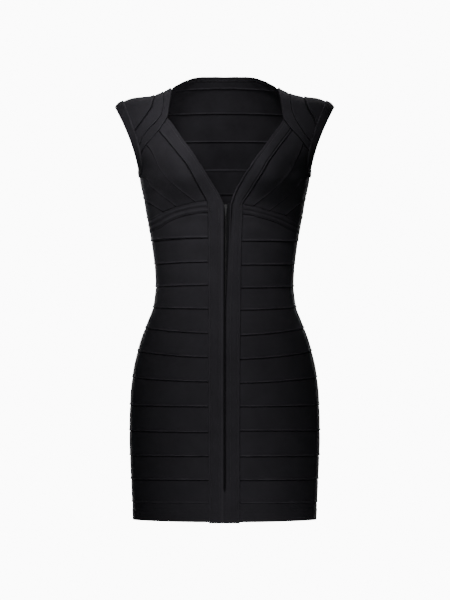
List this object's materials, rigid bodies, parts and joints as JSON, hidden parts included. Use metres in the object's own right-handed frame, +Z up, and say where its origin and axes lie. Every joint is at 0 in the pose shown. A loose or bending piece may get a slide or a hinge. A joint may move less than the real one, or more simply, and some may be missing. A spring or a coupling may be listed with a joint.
{
  "type": "bodycon dress",
  "caption": "Sleeveless mini dress of wide knitted strips with a V neck, cap shoulders and a front zip, in its worn, hollow shape.",
  "frame": {"origin": "midway between the two shoulder lines, where the wearer's shoulders carry the dress", "axes": "+Z up, the front faces -Y, +X towards the wearer's left side"},
  "size_m": [0.4042, 0.229, 0.8206],
  "materials": {
    "knit": "close black rib knit, matt with a soft sheen",
    "zip_tape": "matt woven tape",
    "zip_metal": "satin black lacquer on metal"
  },
  "bodies": {
    "dress": {"armhole_band_left": "knit", "armhole_band_right": "knit", "back_band_1": "knit", "back_band_2": "knit", "back_band_3": "knit", "back_band_4": "knit", "back_band_5": "knit", "back_neck_band": "knit", "back_yoke": "knit", "body_band_1": "knit", "body_band_10": "knit", "body_band_11": "knit", "body_band_12": "knit", "body_band_2": "knit", "body_band_3": "knit", "body_band_4": "knit", "body_band_5": "knit", "body_band_6": "knit", "body_band_7": "knit", "body_band_8": "knit", "body_band_9": "knit", "cap_left": "knit", "cap_right": "knit", "cup_strip_1_left": "knit", "cup_strip_1_right": "knit", "cup_strip_2_left": "knit", "cup_strip_2_right": "knit", "cup_strip_3_left": "knit", "cup_strip_3_right": "knit", "cup_strip_4_left": "knit", "cup_strip_4_right": "knit", "front_band_left": "knit", "front_band_right": "knit", "neck_strip_left": "knit", "neck_strip_right": "knit", "rib_band_left": "knit", "rib_band_right": "knit", "shoulder_strip_left": "knit", "shoulder_strip_right": "knit", "underbust_band_left": "knit", "underbust_band_right": "knit", "zip_chain": "zip_metal", "zip_slider": "zip_metal", "zip_tape_left": "zip_tape", "zip_tape_right": "zip_tape"},
    "pull_tab": {"zip_pull_tab": "zip_metal"}
  },
  "joints": [
    {"name": "pull_tab_hinge", "type": "hinge", "parent": "dress", "child": "pull_tab", "pos_m": [0.002, -0.09288, -0.20875], "axis": [-1, 0, 0], "range_deg": [0, 165]}
  ]
}
